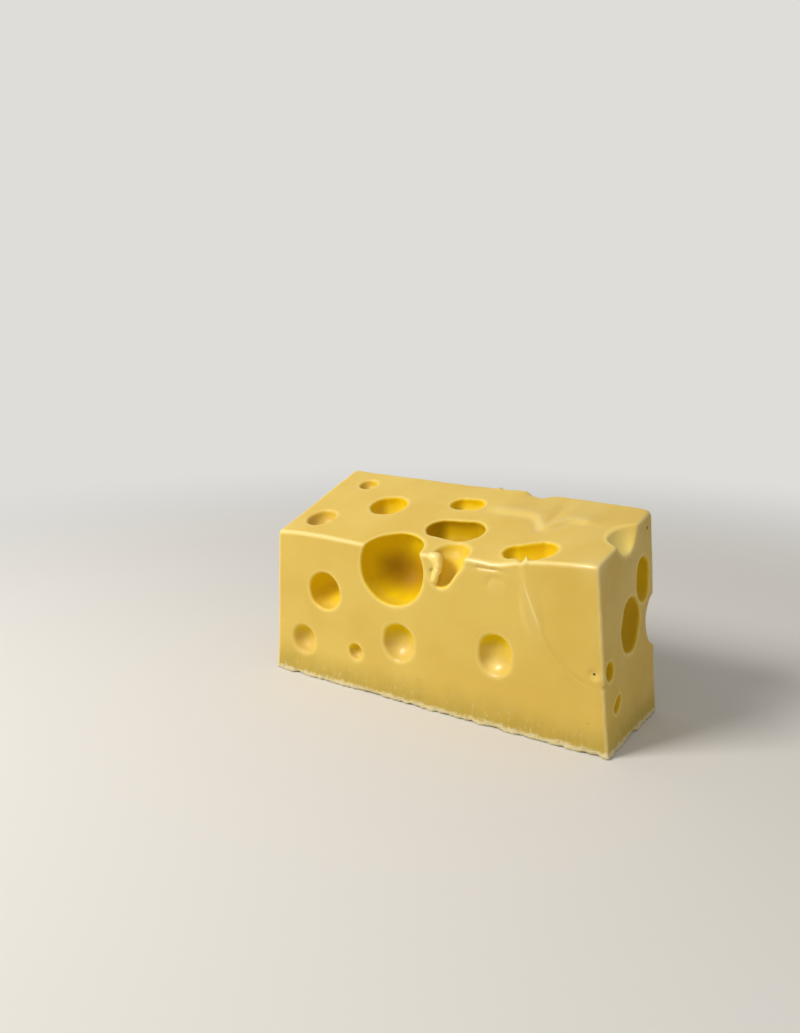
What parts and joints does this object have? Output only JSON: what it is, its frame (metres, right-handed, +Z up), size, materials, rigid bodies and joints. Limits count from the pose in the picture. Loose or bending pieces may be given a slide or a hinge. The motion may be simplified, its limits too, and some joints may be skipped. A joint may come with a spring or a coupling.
{
  "type": "emmental cheese block",
  "caption": "Tall block cut from a wheel of emmental, standing on its rind, with a top that falls to the front and gas eyes opened by every cut.",
  "frame": {"origin": "on the table, under the middle of the block", "axes": "+X along the length to the right end, +Y from the front to the back, +Z up"},
  "size_m": [0.2547, 0.0903, 0.1346],
  "materials": {
    "cheese": "satin"
  },
  "bodies": {
    "root": {"cheese_block": "cheese"}
  },
  "joints": []
}
